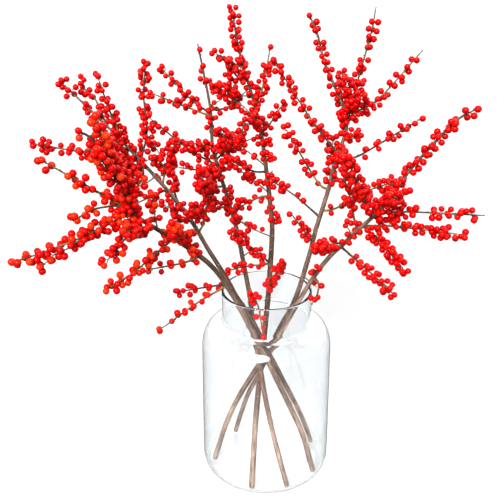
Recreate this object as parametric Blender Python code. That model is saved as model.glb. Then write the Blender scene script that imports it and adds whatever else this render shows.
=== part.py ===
"""Cut winterberry branches standing in a clear glass jar. Metres, +Z up, origin at the jar's base centre."""

import math

import bpy
import numpy as np

# ---------------------------------------------------------------- jar
JAR_HEIGHT = 0.250
RIM_RADIUS = 0.0547
RIM_ROUND = 0.0008
NECK_RADIUS = 0.0545
NECK_FOOT_HEIGHT = 0.2100
NECK_BEND = 0.0040
NECK_FLARE_RADIUS = 0.0582
NECK_FLARE_HEIGHT = 0.2070
SHOULDER_FULLNESS = 0.85
SHOULDER_RADIUS = 0.0800
SHOULDER_HEIGHT = 0.1700
HEEL_BODY_RADIUS = 0.0815
HEEL_FILLET = 0.0165
HEEL_TAPER_END = 0.0300
WALL = 0.0030
FLOOR_THICKNESS = 0.0035
SHOULDER_STEPS = 6
HEEL_STEPS = 4
JAR_SIDES = 40

# ---------------------------------------------------------------- wood and berries
STEM_SIDES = 8
TWIG_SIDES = 6
STEM_STEP = 0.028
TWIG_STEP = 0.030
TWIG_FOOT_RADIUS = 0.0013
TWIG_TIP_RADIUS = 0.0008
STEM_TAPER_POWER = 2.6
TWIG_TAPER_POWER = 1.0
GAP = 0.0003
SIDE_HINT = (0.3, 1.0, 0.2)
BERRY_SLEEVE_RADIUS = 0.0082
LUMP_PITCH = 0.018
SLEEVE_END = 0.50
SLEEVE_WAIST = 0.70
SLEEVE_STATION_MARGIN = 0.001

# Each branch: the radii of its cut foot and of its tip, the route of its main stem between them, the
# stretch of the stem that carries berries as two shares of its length, and its twigs. Each twig: its
# points and its own berried stretch, or None for bare. Its first point is moved onto the stem.
BRANCHES = {
    "left_front": {
        "radii": (0.0034, 0.0010),
        "stem": [
            (0.060, -0.036, 0.008), (0.046, -0.035, 0.062), (0.025, -0.031, 0.113), (-0.024, -0.024, 0.220),
            (-0.044, -0.020, 0.257), (-0.063, -0.028, 0.291), (-0.090, -0.050, 0.326),
            (-0.117, -0.080, 0.358), (-0.135, -0.110, 0.386), (-0.138, -0.122, 0.409),
            (-0.141, -0.132, 0.431), (-0.147, -0.140, 0.450), (-0.163, -0.152, 0.474),
            (-0.173, -0.158, 0.480),
        ],
        "stem_berries": (0.92, 0.985),
        "twigs": [
            ([(-0.138, -0.112, 0.388), (-0.154, -0.128, 0.384), (-0.184, -0.146, 0.374),
              (-0.218, -0.158, 0.364), (-0.239, -0.162, 0.358)], (0.10, 0.97)),
            ([(-0.136, -0.112, 0.389), (-0.161, -0.134, 0.415), (-0.204, -0.154, 0.451)], (0.20, 0.97)),
            ([(-0.133, -0.106, 0.381), (-0.140, -0.112, 0.368), (-0.162, -0.128, 0.343)], (0.32, 0.97)),
            ([(-0.104, -0.064, 0.341), (-0.138, -0.104, 0.322), (-0.163, -0.130, 0.313)], (0.18, 0.97)),
            ([(-0.079, -0.038, 0.308), (-0.095, -0.044, 0.304), (-0.137, -0.060, 0.302)], (0.16, 0.97)),
            ([(-0.101, -0.060, 0.338), (-0.095, -0.118, 0.374)], (0.30, 0.97)),
            ([(-0.123, -0.090, 0.367), (-0.128, -0.122, 0.375), (-0.137, -0.152, 0.384)], (0.36, 0.97)),
            ([(-0.049, -0.021, 0.264), (-0.082, -0.040, 0.251), (-0.118, -0.070, 0.236)], (0.34, 0.97)),
            ([(-0.140, -0.128, 0.421), (-0.143, -0.145, 0.432), (-0.151, -0.168, 0.458)], (0.30, 0.97)),
            ([(-0.137, -0.120, 0.405), (-0.129, -0.122, 0.417), (-0.121, -0.126, 0.432),
              (-0.122, -0.130, 0.444)], (0.30, 0.97)),
            ([(-0.136, -0.112, 0.388), (-0.150, -0.120, 0.398), (-0.171, -0.134, 0.399),
              (-0.182, -0.140, 0.394)], None),
        ],
    },
    "left_back": {
        "radii": (0.0032, 0.0010),
        "stem": [
            (0.064, 0.026, 0.006), (0.052, 0.019, 0.044), (0.037, 0.011, 0.083), (0.021, 0.003, 0.121),
            (0.002, -0.008, 0.168), (-0.018, -0.009, 0.213), (-0.037, -0.005, 0.243),
            (-0.049, 0.004, 0.263), (-0.070, 0.014, 0.295), (-0.101, 0.024, 0.345), (-0.163, 0.039, 0.415),
            (-0.236, 0.064, 0.482),
        ],
        "stem_berries": (0.93, 0.985),
        "twigs": [
            ([(-0.187, 0.046, 0.438), (-0.203, 0.066, 0.467), (-0.215, 0.076, 0.474),
              (-0.221, 0.084, 0.486)], (0.46, 0.97)),
            ([(-0.168, 0.040, 0.421), (-0.180, 0.034, 0.458), (-0.188, 0.024, 0.496)], (0.14, 0.97)),
            ([(-0.150, 0.036, 0.397), (-0.143, 0.058, 0.429), (-0.147, 0.076, 0.468),
              (-0.145, 0.088, 0.500)], (0.16, 0.97)),
            ([(-0.140, 0.033, 0.390), (-0.188, 0.028, 0.407), (-0.263, 0.015, 0.425)], (0.14, 0.97)),
            ([(-0.126, 0.030, 0.370), (-0.119, 0.058, 0.397), (-0.113, 0.070, 0.408)], (0.34, 0.97)),
            ([(-0.106, 0.026, 0.350), (-0.111, 0.040, 0.361), (-0.114, 0.058, 0.382)], None),
            ([(-0.124, 0.028, 0.362), (-0.149, -0.010, 0.363)], (0.20, 0.97)),
            ([(-0.084, 0.018, 0.317), (-0.074, 0.008, 0.335), (-0.067, -0.004, 0.372)], None),
            ([(-0.049, 0.004, 0.252), (-0.102, -0.010, 0.252)], (0.20, 0.97)),
        ],
    },
    "middle_left": {
        "radii": (0.0032, 0.0009),
        "stem": [
            (0.026, -0.065, 0.006), (0.011, -0.048, 0.062), (0.000, -0.034, 0.110), (-0.009, -0.017, 0.160),
            (-0.017, 0.005, 0.207), (-0.022, 0.015, 0.241), (-0.029, 0.032, 0.274), (-0.036, 0.044, 0.307),
            (-0.046, 0.060, 0.338), (-0.055, 0.068, 0.367), (-0.066, 0.082, 0.403), (-0.068, 0.094, 0.436),
            (-0.071, 0.100, 0.461), (-0.084, 0.122, 0.522),
        ],
        "stem_berries": (0.93, 0.980),
        "twigs": [
            ([(-0.070, 0.095, 0.442), (-0.095, 0.107, 0.460), (-0.127, 0.122, 0.491)], (0.20, 0.97)),
            ([(-0.070, 0.094, 0.439), (-0.135, 0.078, 0.470)], (0.26, 0.97)),
            ([(-0.061, 0.074, 0.384), (-0.094, 0.062, 0.407), (-0.136, 0.044, 0.448)], (0.16, 0.97)),
            ([(-0.074, 0.108, 0.484), (-0.065, 0.100, 0.476), (-0.044, 0.088, 0.470)], None),
            ([(-0.068, 0.098, 0.447), (-0.055, 0.110, 0.446), (-0.044, 0.122, 0.449),
              (-0.025, 0.140, 0.463)], None),
            ([(-0.059, 0.076, 0.390), (-0.042, 0.108, 0.402), (-0.036, 0.122, 0.411)], (0.32, 0.97)),
            ([(-0.061, 0.078, 0.396), (-0.050, 0.058, 0.422), (-0.056, 0.050, 0.430)], None),
            ([(-0.059, 0.071, 0.378), (-0.076, 0.062, 0.380), (-0.106, 0.046, 0.389)], (0.30, 0.97)),
            ([(-0.052, 0.062, 0.359), (-0.063, 0.032, 0.369), (-0.075, -0.044, 0.393)], (0.30, 0.97)),
            ([(-0.023, 0.016, 0.248), (-0.012, -0.008, 0.235), (-0.008, -0.018, 0.223),
              (-0.005, -0.020, 0.200)], (0.44, 0.96)),
            ([(-0.046, 0.059, 0.336), (-0.104, 0.070, 0.325)], None),
        ],
    },
    "middle": {
        "radii": (0.0036, 0.0009),
        "stem": [
            (-0.018, -0.067, 0.006), (-0.014, -0.044, 0.075), (-0.010, -0.020, 0.115),
            (-0.005, 0.004, 0.155), (0.001, 0.020, 0.212), (0.004, 0.027, 0.251), (0.007, 0.042, 0.308),
            (0.005, 0.053, 0.336), (0.000, 0.065, 0.378), (-0.010, 0.085, 0.438), (-0.030, 0.106, 0.504),
            (-0.036, 0.111, 0.529), (-0.041, 0.118, 0.560),
        ],
        "stem_berries": (0.88, 0.985),
        "twigs": [
            ([(0.003, 0.025, 0.240), (0.007, 0.000, 0.263), (0.015, -0.028, 0.294)], (0.22, 0.97)),
            ([(0.003, 0.033, 0.271), (-0.028, 0.012, 0.274), (-0.043, 0.004, 0.273)], (0.30, 0.97)),
            ([(0.004, 0.033, 0.271), (-0.038, -0.004, 0.324)], None),
            ([(-0.006, 0.080, 0.424), (0.002, 0.088, 0.429), (0.019, 0.102, 0.452)], (0.34, 0.97)),
            ([(-0.015, 0.092, 0.454), (-0.008, 0.100, 0.464), (-0.004, 0.107, 0.477),
              (0.004, 0.119, 0.516)], (0.25, 0.97)),
            ([(0.000, 0.065, 0.378), (-0.017, 0.058, 0.381), (-0.044, 0.042, 0.399)], (0.30, 0.97)),
            ([(0.004, 0.056, 0.348), (-0.011, 0.050, 0.349), (-0.037, 0.042, 0.338)], None),
            ([(-0.007, 0.081, 0.425), (-0.010, 0.048, 0.443), (-0.016, 0.014, 0.457)], (0.30, 0.97)),
            ([(-0.024, 0.100, 0.483), (-0.036, 0.092, 0.489), (-0.050, 0.078, 0.511),
              (-0.059, 0.072, 0.517)], (0.20, 0.97)),
        ],
    },
    "right_back": {
        "radii": (0.0033, 0.0009),
        "stem": [
            (-0.067, -0.010, 0.006), (-0.050, -0.004, 0.061), (-0.032, 0.008, 0.096),
            (-0.014, 0.018, 0.122), (0.003, 0.025, 0.150), (0.023, 0.023, 0.195), (0.031, 0.020, 0.212),
            (0.041, 0.016, 0.245), (0.054, 0.024, 0.292), (0.060, 0.027, 0.319), (0.073, 0.033, 0.365),
            (0.081, 0.041, 0.399), (0.090, 0.047, 0.423), (0.093, 0.050, 0.440), (0.087, 0.054, 0.463),
            (0.068, 0.061, 0.503), (0.061, 0.063, 0.523), (0.056, 0.064, 0.541), (0.046, 0.066, 0.562),
        ],
        "stem_berries": (0.87, 0.975),
        "twigs": [
            ([(0.084, 0.043, 0.406), (0.052, 0.047, 0.445), (0.010, 0.060, 0.507)], (0.12, 0.97)),
            ([(0.073, 0.034, 0.365), (0.059, 0.034, 0.376), (0.022, 0.030, 0.437)], (0.14, 0.97)),
            ([(0.063, 0.028, 0.331), (0.033, 0.044, 0.355), (0.004, 0.060, 0.369)], (0.14, 0.97)),
            ([(0.056, 0.026, 0.302), (0.028, -0.004, 0.347)], None),
            ([(0.067, 0.030, 0.341), (0.082, 0.024, 0.345), (0.114, 0.008, 0.371),
              (0.146, -0.008, 0.389)], (0.18, 0.97)),
            ([(0.083, 0.041, 0.399), (0.100, 0.038, 0.403), (0.115, 0.034, 0.411),
              (0.171, 0.024, 0.451)], (0.20, 0.97)),
            ([(0.093, 0.050, 0.440), (0.101, 0.052, 0.480), (0.116, 0.058, 0.541),
              (0.120, 0.060, 0.569)], (0.24, 0.96)),
            ([(0.093, 0.050, 0.442), (0.101, 0.046, 0.454), (0.128, 0.040, 0.473),
              (0.169, 0.030, 0.526)], (0.24, 0.96)),
            ([(0.092, 0.051, 0.447), (0.098, 0.036, 0.467), (0.104, 0.024, 0.477)], None),
            ([(0.088, 0.053, 0.460), (0.087, 0.066, 0.475), (0.090, 0.088, 0.498)], None),
            ([(0.086, 0.043, 0.411), (0.086, -0.014, 0.410)], (0.20, 0.97)),
        ],
    },
    "right_front": {
        "radii": (0.0031, 0.0010),
        "stem": [
            (-0.041, 0.049, 0.006), (-0.033, 0.032, 0.046), (-0.022, 0.018, 0.090), (-0.007, 0.010, 0.127),
            (0.006, 0.008, 0.160), (0.020, 0.007, 0.189), (0.047, -0.002, 0.250), (0.062, -0.008, 0.280),
            (0.075, -0.013, 0.301), (0.087, -0.018, 0.316), (0.101, -0.027, 0.336), (0.125, -0.047, 0.373),
            (0.135, -0.053, 0.393), (0.145, -0.057, 0.413), (0.156, -0.059, 0.429), (0.186, -0.064, 0.468),
            (0.203, -0.066, 0.480),
        ],
        "stem_berries": (0.80, 0.985),
        "twigs": [
            ([(0.115, -0.039, 0.358), (0.135, -0.046, 0.365), (0.160, -0.054, 0.368),
              (0.226, -0.070, 0.370)], (0.16, 0.96)),
            ([(0.106, -0.031, 0.343), (0.143, -0.040, 0.346), (0.208, -0.053, 0.342)], (0.12, 0.97)),
            ([(0.107, -0.032, 0.344), (0.124, -0.054, 0.332), (0.143, -0.080, 0.314)], (0.16, 0.97)),
            ([(0.085, -0.017, 0.312), (0.126, -0.056, 0.286), (0.136, -0.068, 0.279)], (0.14, 0.97)),
            ([(0.088, -0.019, 0.318), (0.067, -0.060, 0.333), (0.047, -0.104, 0.346)], (0.10, 0.97)),
            ([(0.114, -0.038, 0.357), (0.094, -0.064, 0.398), (0.077, -0.092, 0.436)], (0.20, 0.97)),
            ([(0.100, -0.026, 0.334), (0.095, -0.026, 0.356), (0.091, -0.030, 0.374),
              (0.080, -0.038, 0.404)], (0.20, 0.97)),
            ([(0.126, -0.048, 0.374), (0.125, -0.084, 0.393), (0.121, -0.124, 0.408)], (0.20, 0.97)),
            ([(0.129, -0.050, 0.382), (0.139, -0.084, 0.399)], None),
            ([(0.057, -0.006, 0.270), (0.061, -0.016, 0.264), (0.059, -0.022, 0.253),
              (0.053, -0.024, 0.242)], None),
        ],
    },
}


# ---------------------------------------------------------------- helpers
def clear_scene():
    for thing in list(bpy.data.objects):
        bpy.data.objects.remove(thing, do_unlink=True)


def material(name, colour, roughness, alpha=1.0):
    made = bpy.data.materials.new(name)
    made.use_nodes = True
    shader = made.node_tree.nodes["Principled BSDF"]
    shader.inputs["Base Color"].default_value = (*colour, 1.0)
    shader.inputs["Roughness"].default_value = roughness
    shader.inputs["Metallic"].default_value = 0.0
    shader.inputs["Alpha"].default_value = alpha
    return made


def mesh_object(name, points, faces, finish=None):
    mesh = bpy.data.meshes.new(name)
    mesh.from_pydata([tuple(p) for p in points], [], faces)
    mesh.update()
    for face in mesh.polygons:
        face.use_smooth = True
    made = bpy.data.objects.new(name, mesh)
    bpy.context.scene.collection.objects.link(made)
    if finish:
        mesh.materials.append(finish)
    return made


def smooth_route(points, step):
    """Stations along a Catmull-Rom curve through the points, no further apart than about one step."""
    pts = np.array(points, dtype=float)
    ext = np.vstack([2 * pts[0] - pts[1], pts, 2 * pts[-1] - pts[-2]])
    out = [pts[0]]
    for i in range(len(pts) - 1):
        a, b, c, d = ext[i:i + 4]
        count = max(1, math.ceil(np.linalg.norm(c - b) / step))
        for k in range(1, count + 1):
            t = k / count
            out.append(0.5 * (2 * b + (c - a) * t + (2 * a - 5 * b + 4 * c - d) * t ** 2
                              + (3 * b - a - 3 * c + d) * t ** 3))
    return np.array(out)


def unit(v):
    return v / np.linalg.norm(v)


def limb(points, step, sides, radii, power):
    """A limb: its stations, how far along each one is, its two cross axes there and its radius there."""
    route = smooth_route(points, step)
    along = np.concatenate([[0.0], np.cumsum(np.linalg.norm(np.diff(route, axis=0), axis=1))])
    ways = [unit(route[min(i + 1, len(route) - 1)] - route[max(i - 1, 0)]) for i in range(len(route))]
    side = unit(np.cross(ways[0], SIDE_HINT))
    axes = []
    for way in ways:
        side = unit(side - way * np.dot(side, way))
        axes.append((side, np.cross(way, side)))
    radius = radii[0] + (radii[1] - radii[0]) * (along / along[-1]) ** power
    return {"route": route, "along": along, "axes": axes, "radius": radius, "sides": sides}


def ring(body, index, extra=0.0):
    """The corners of a limb's own cross-section at one station, let out by a clear margin."""
    n = body["sides"]
    u, v = body["axes"][index]
    r = body["radius"][index] + extra / math.cos(math.pi / n)
    turns = [2 * math.pi * k / n for k in range(n)]
    return np.array([body["route"][index] + r * (math.cos(a) * u + math.sin(a) * v) for a in turns])


def ring_at(body, distance, extra=0.0):
    """The same between two stations: a straight blend of their corners."""
    along = body["along"]
    i = int(min(max(np.searchsorted(along, distance) - 1, 0), len(along) - 2))
    t = (distance - along[i]) / (along[i + 1] - along[i])
    return (1 - t) * ring(body, i, extra) + t * ring(body, i + 1, extra)


def bridge(faces, first, second, n):
    for k in range(n):
        faces.append((first + k, first + (k + 1) % n, second + (k + 1) % n, second + k))


def limb_object(name, body):
    n, count = body["sides"], len(body["route"])
    points = np.vstack([ring(body, i) for i in range(count)])
    faces = [tuple(range(n - 1, -1, -1)), tuple(range((count - 1) * n, count * n))]
    for i in range(count - 1):
        bridge(faces, i * n, (i + 1) * n, n)
    return mesh_object(name, points, faces)


def nearest_on(route, point):
    """The closest point of a polyline."""
    best = None
    for a, b in zip(route[:-1], route[1:]):
        t = np.clip(np.dot(point - a, b - a) / np.dot(b - a, b - a), 0.0, 1.0)
        found = a + t * (b - a)
        if best is None or np.linalg.norm(found - point) < np.linalg.norm(best - point):
            best = found
    return best


def fuse(target, others, finish):
    """Join the others into the target as one closed body."""
    for other in others:
        join = target.modifiers.new("join", "BOOLEAN")
        join.operation = "UNION"
        join.solver = "EXACT"
        join.object = other
    graph = bpy.context.evaluated_depsgraph_get()
    mesh = bpy.data.meshes.new_from_object(target.evaluated_get(graph))
    target.modifiers.clear()
    target.data = mesh
    mesh.materials.clear()
    mesh.materials.append(finish)
    for face in mesh.polygons:
        face.use_smooth = True
    for other in others:
        bpy.data.objects.remove(other, do_unlink=True)


# ---------------------------------------------------------------- jar
def jar_profile():
    """(radius, height) from the rim's inner edge over the rim, down the outside, in over the base and up."""
    outer = [(RIM_RADIUS - RIM_ROUND / 2, JAR_HEIGHT), (RIM_RADIUS, JAR_HEIGHT - RIM_ROUND)]
    outer += [(NECK_RADIUS, NECK_FOOT_HEIGHT + NECK_BEND), (NECK_RADIUS + NECK_BEND / 4, NECK_FOOT_HEIGHT)]
    rise = NECK_FLARE_HEIGHT - SHOULDER_HEIGHT
    reach = SHOULDER_RADIUS - NECK_FLARE_RADIUS
    for k in range(SHOULDER_STEPS + 1):
        turn = 0.5 * math.pi * k / SHOULDER_STEPS
        lift = max(math.cos(turn), 0.0) ** SHOULDER_FULLNESS
        outer.append((NECK_FLARE_RADIUS + reach * math.sin(turn), SHOULDER_HEIGHT + rise * lift))
    outer.append((HEEL_BODY_RADIUS, HEEL_FILLET + HEEL_TAPER_END))
    inner = [(r - WALL, z) for r, z in outer[2:]]
    fillet = HEEL_FILLET - WALL
    for k in range(HEEL_STEPS + 1):
        turn = 0.5 * math.pi * k / HEEL_STEPS
        inwards, drop = 1 - math.cos(turn), 1 - math.sin(turn)
        outer.append((HEEL_BODY_RADIUS - HEEL_FILLET * inwards, HEEL_FILLET * drop))
        inner.append((HEEL_BODY_RADIUS - WALL - fillet * inwards, FLOOR_THICKNESS + fillet * drop))
    top = [(RIM_RADIUS - WALL, JAR_HEIGHT - RIM_ROUND), (RIM_RADIUS - WALL + RIM_ROUND / 2, JAR_HEIGHT)]
    return outer, inner, top


def build_jar():
    outer, inner, top = jar_profile()
    loop = outer + inner[::-1] + top
    points, faces, rows = [], [], []
    for r, z in loop:
        rows.append(len(points))
        for k in range(JAR_SIDES):
            turn = 2 * math.pi * k / JAR_SIDES
            points.append((r * math.cos(turn), r * math.sin(turn), z))
    bottom = len(outer) - 1
    for i in range(len(loop)):
        j = (i + 1) % len(loop)
        if i != bottom:
            bridge(faces, rows[j], rows[i], JAR_SIDES)
    for row, up in ((rows[bottom], False), (rows[bottom + 1], True)):
        centre = len(points)
        points.append((0.0, 0.0, loop[bottom + 1][1] if up else 0.0))
        for k in range(JAR_SIDES):
            a, b = row + k, row + (k + 1) % JAR_SIDES
            faces.append((a, b, centre) if up else (b, a, centre))
    glass = material("clear_glass", (0.90, 0.94, 0.95), 0.02, 0.35)
    mesh_object("jar", points, faces, glass)


# ---------------------------------------------------------------- branches
def sleeve_object(name, body, share, finish):
    """A lumpy run of berries round a limb, bored to clear it."""
    n = body["sides"]
    length = body["along"][-1]
    start, end = share[0] * length, share[1] * length
    lumps = max(1, round((end - start) / LUMP_PITCH))
    pitch = (end - start) / lumps
    outside = [(start, SLEEVE_END)]
    for k in range(lumps):
        outside.append((start + (k + 0.5) * pitch, 1.0))
        outside.append((start + (k + 1) * pitch, SLEEVE_WAIST if k < lumps - 1 else SLEEVE_END))
    rings = []
    for distance, share_of_full in outside:
        core = ring_at(body, distance)
        middle = core.mean(axis=0)
        arms = core - middle
        reach = BERRY_SLEEVE_RADIUS * share_of_full / np.linalg.norm(arms, axis=1)[:, None]
        rings.append(middle + arms * reach)
    first, last = start + SLEEVE_STATION_MARGIN, end - SLEEVE_STATION_MARGIN
    inside = [start] + [distance for distance in body["along"] if first < distance < last] + [end]
    rings += [ring_at(body, distance, GAP) for distance in reversed(inside)]
    faces = []
    for i in range(len(rings)):
        bridge(faces, i * n, ((i + 1) % len(rings)) * n, n)
    mesh_object(name, np.vstack(rings), faces, finish)


def build_branch(name, plan, bark, skin):
    stem = limb(plan["stem"], STEM_STEP, STEM_SIDES, plan["radii"], STEM_TAPER_POWER)
    limbs = [stem]
    for points, _ in plan["twigs"]:
        route = [tuple(nearest_on(stem["route"], np.array(points[0])))] + points[1:]
        radii = (TWIG_FOOT_RADIUS, TWIG_TIP_RADIUS)
        limbs.append(limb(route, TWIG_STEP, TWIG_SIDES, radii, TWIG_TAPER_POWER))
    parts = [limb_object(f"branch_{name}", stem)]
    parts += [limb_object(f"twig_{name}_{i}", body) for i, body in enumerate(limbs[1:], 1)]
    fuse(parts[0], parts[1:], bark)
    sleeve_object(f"berries_{name}_leader", stem, plan["stem_berries"], skin)
    for i, (_, share) in enumerate(plan["twigs"], 1):
        if share:
            sleeve_object(f"berries_{name}_{i:02d}", limbs[i], share, skin)


def main():
    clear_scene()
    build_jar()
    bark = material("bark", (0.32, 0.25, 0.20), 0.8)
    skin = material("berry_skin", (0.80, 0.02, 0.02), 0.25)
    for name, plan in BRANCHES.items():
        build_branch(name, plan, bark, skin)


main()
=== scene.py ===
"""Cut winterberry branches, leafless and set with ripe fruit, standing loose in a clear glass jar."""
import math

import bpy
import numpy as np
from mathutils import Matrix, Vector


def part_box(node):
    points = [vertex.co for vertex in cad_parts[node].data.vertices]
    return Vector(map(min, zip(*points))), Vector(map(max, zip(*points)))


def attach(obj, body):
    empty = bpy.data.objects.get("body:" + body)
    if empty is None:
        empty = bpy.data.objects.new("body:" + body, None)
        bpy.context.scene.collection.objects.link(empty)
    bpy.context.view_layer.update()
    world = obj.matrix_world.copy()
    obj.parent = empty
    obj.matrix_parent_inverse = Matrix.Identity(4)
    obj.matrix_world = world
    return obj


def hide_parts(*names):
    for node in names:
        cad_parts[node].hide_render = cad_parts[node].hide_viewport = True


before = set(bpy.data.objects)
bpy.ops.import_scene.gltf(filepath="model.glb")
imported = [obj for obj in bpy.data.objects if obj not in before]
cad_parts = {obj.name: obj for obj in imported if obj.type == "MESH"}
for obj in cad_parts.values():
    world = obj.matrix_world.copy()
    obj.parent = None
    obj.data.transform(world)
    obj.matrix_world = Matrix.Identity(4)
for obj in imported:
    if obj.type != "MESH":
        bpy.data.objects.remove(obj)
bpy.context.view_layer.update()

# ---------------------------------------- jar
# The jar is one piece of clear soda-lime glass, blown into a turned mould: a short straight neck with a
# fire-polished rim, a full round shoulder, a nearly straight wall and a rounded heel on a flat base. It
# holds nothing but the stems.
JAR_SIDES = 144
JAR_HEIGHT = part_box("jar")[1][2]
RIM_RADIUS = 0.0547
RIM_ROUND = 0.0014
NECK_RADIUS = 0.0545
NECK_FOOT_HEIGHT = 0.2100
NECK_BEND = 0.0040
NECK_FLARE_RADIUS = 0.0582
NECK_FLARE_HEIGHT = 0.2070
SHOULDER_FULLNESS = 0.85
SHOULDER_RADIUS = 0.0800
SHOULDER_HEIGHT = 0.1700
HEEL_RADIUS = 0.0815
HEEL_FILLET = 0.0165
HEEL_TAPER_END = 0.0300
JAR_WALL = 0.0030
NECK_STRAIGHT_FOOT = 0.014
NECK_DROP_POWER = 0.9
NECK_FLARE_POWER = 2.6
NECK_BEND_STEPS = 8
SHOULDER_STEPS = 24
HEEL_STEPS = 14
RIM_STEPS = 5


def linear(hex_colour):
    """The linear colour of an sRGB hex value."""
    parts = [int(hex_colour[i:i + 2], 16) / 255 for i in (1, 3, 5)]
    return (*[c / 12.92 if c <= 0.04045 else ((c + 0.055) / 1.055) ** 2.4 for c in parts], 1.0)


def add(tree, kind, wires=None, **settings):
    """Add one node. Settings are its own properties; wires feed its inputs from a socket or a value."""
    node = tree.nodes.new(kind)
    for name, value in settings.items():
        setattr(node, name, value)
    for key, value in (wires or {}).items():
        if isinstance(key, int):
            socket = node.inputs[key]
        else:
            socket = next(s for s in node.inputs if s.enabled and s.name == key)
        if isinstance(value, bpy.types.NodeSocket):
            tree.links.new(value, socket)
        else:
            socket.default_value = value
    return node


def spread(tree, value, source, target, **settings):
    """A value moved from the range source to the range target."""
    wires = {0: value, 1: source[0], 2: source[1], 3: target[0], 4: target[1]}
    return add(tree, "ShaderNodeMapRange", wires, **settings).outputs[0]


def ramp(tree, value, stops):
    """A colour by value, from sRGB colours at their places."""
    node = add(tree, "ShaderNodeValToRGB", {0: value})
    elements, places = node.color_ramp.elements, sorted(stops)
    for element, place in ((elements[0], places[0]), (elements[1], places[-1])):
        element.position = place
        element.color = linear(stops[place])
    for place in places[1:-1]:
        elements.new(place).color = linear(stops[place])
    return node.outputs[0]


def maths(tree, operation, a, b, c=0.0):
    return add(tree, "ShaderNodeMath", {0: a, 1: b, 2: c}, operation=operation).outputs[0]


def vectors(tree, operation, a, b):
    return add(tree, "ShaderNodeVectorMath", {0: a, 1: b}, operation=operation).outputs[0]


def scaled(tree, vector, by):
    return add(tree, "ShaderNodeVectorMath", {0: vector, "Scale": by}, operation="SCALE").outputs[0]


def new_material(name):
    """A material, its node tree and its shader."""
    made = bpy.data.materials.new(name)
    made.use_nodes = True
    return made, made.node_tree, made.node_tree.nodes["Principled BSDF"]


def mesh_piece(name, points, faces, material, smooth=True):
    mesh = bpy.data.meshes.new(name)
    mesh.from_pydata([tuple(p) for p in points], [], faces)
    mesh.materials.append(material)
    mesh.polygons.foreach_set("use_smooth", [smooth] * len(mesh.polygons))
    made = bpy.data.objects.new(name, mesh)
    bpy.context.scene.collection.objects.link(made)
    return made


def arc(centre, radii, first, last, steps):
    """Points of a quarter or half round in the (radius, height) plane, angles in quarter turns."""
    turns = [0.5 * math.pi * (first + (last - first) * k / steps) for k in range(steps + 1)]
    return [(centre[0] + radii[0] * math.cos(t), centre[1] + radii[1] * math.sin(t)) for t in turns]


def jar_outline():
    """The outer face of the jar's wall, from the neck's top edge down to where the heel meets the base."""
    line = [(RIM_RADIUS, JAR_HEIGHT - 2 * RIM_ROUND), (NECK_RADIUS, NECK_FOOT_HEIGHT + NECK_STRAIGHT_FOOT)]
    for k in range(NECK_BEND_STEPS + 1):
        t = k / NECK_BEND_STEPS
        drop = (NECK_FLARE_HEIGHT - NECK_FOOT_HEIGHT - NECK_BEND) * t ** NECK_DROP_POWER
        width = NECK_RADIUS + (NECK_FLARE_RADIUS - NECK_RADIUS) * t ** NECK_FLARE_POWER
        line.append((width, NECK_FOOT_HEIGHT + NECK_BEND + drop))
    rise = NECK_FLARE_HEIGHT - SHOULDER_HEIGHT
    reach = SHOULDER_RADIUS - NECK_FLARE_RADIUS
    for k in range(1, SHOULDER_STEPS + 1):
        turn = 0.5 * math.pi * k / SHOULDER_STEPS
        lift = max(math.cos(turn), 0.0) ** SHOULDER_FULLNESS
        line.append((NECK_FLARE_RADIUS + reach * math.sin(turn), SHOULDER_HEIGHT + rise * lift))
    line.append((HEEL_RADIUS, HEEL_FILLET + HEEL_TAPER_END))
    return line + arc((HEEL_RADIUS - HEEL_FILLET, HEEL_FILLET), (HEEL_FILLET, HEEL_FILLET), 0, -1, HEEL_STEPS)


def set_in(line, thickness):
    """The same line moved square to itself by the wall's thickness, towards the inside of the jar."""
    shifted = []
    for i, (r, z) in enumerate(line):
        before, after = line[max(i - 1, 0)], line[min(i + 1, len(line) - 1)]
        run, drop = after[0] - before[0], after[1] - before[1]
        length = math.hypot(run, drop)
        shifted.append((r + thickness * drop / length, z - thickness * run / length))
    return shifted


def turned(name, loop, material):
    """A closed (radius, height) loop, open only where both ends meet the axis, turned about the axis."""
    points, faces = [], []
    for r, z in loop:
        for k in range(JAR_SIDES):
            turn = 2 * math.pi * k / JAR_SIDES
            points.append((r * math.cos(turn), r * math.sin(turn), z))
    for i in range(len(loop) - 1):
        for k in range(JAR_SIDES):
            a, b = i * JAR_SIDES + k, i * JAR_SIDES + (k + 1) % JAR_SIDES
            faces.append((a, b, b + JAR_SIDES, a + JAR_SIDES))
    for row, up in ((0, False), (len(loop) - 1, True)):
        centre = len(points)
        points.append((0.0, 0.0, loop[row][1]))
        for k in range(JAR_SIDES):
            a, b = row * JAR_SIDES + k, row * JAR_SIDES + (k + 1) % JAR_SIDES
            faces.append((a, b, centre) if up else (b, a, centre))
    return mesh_piece(name, points, faces, material)


# Blown soda-lime glass: colourless, polished by the flame inside and out. The eye gets only its edges, a
# few soft highlights and the stems seen through it.
glass, tree, shader = new_material("blown_soda_lime_glass")
shader.inputs["Base Color"].default_value = linear("#FBFDFE")
shader.inputs["Roughness"].default_value = 0.0
shader.inputs["IOR"].default_value = 1.5
shader.inputs["Transmission Weight"].default_value = 1.0

rim = arc((RIM_RADIUS - RIM_ROUND, JAR_HEIGHT - RIM_ROUND), (RIM_ROUND, RIM_ROUND), 0, 1, RIM_STEPS)
rim_inner = arc((RIM_RADIUS - JAR_WALL + RIM_ROUND, JAR_HEIGHT - RIM_ROUND), (RIM_ROUND, RIM_ROUND),
                1, 2, RIM_STEPS)
outside = jar_outline()
inside = set_in(outside, JAR_WALL)
inside[-1] = (outside[-1][0], JAR_WALL)
jar_loop = outside[::-1] + rim + rim_inner + inside
jar = turned("jar_glass", jar_loop, glass)
jar.visible_shadow = False  # the renderer would give clear glass a solid shadow
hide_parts("jar")
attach(jar, "root")

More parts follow.
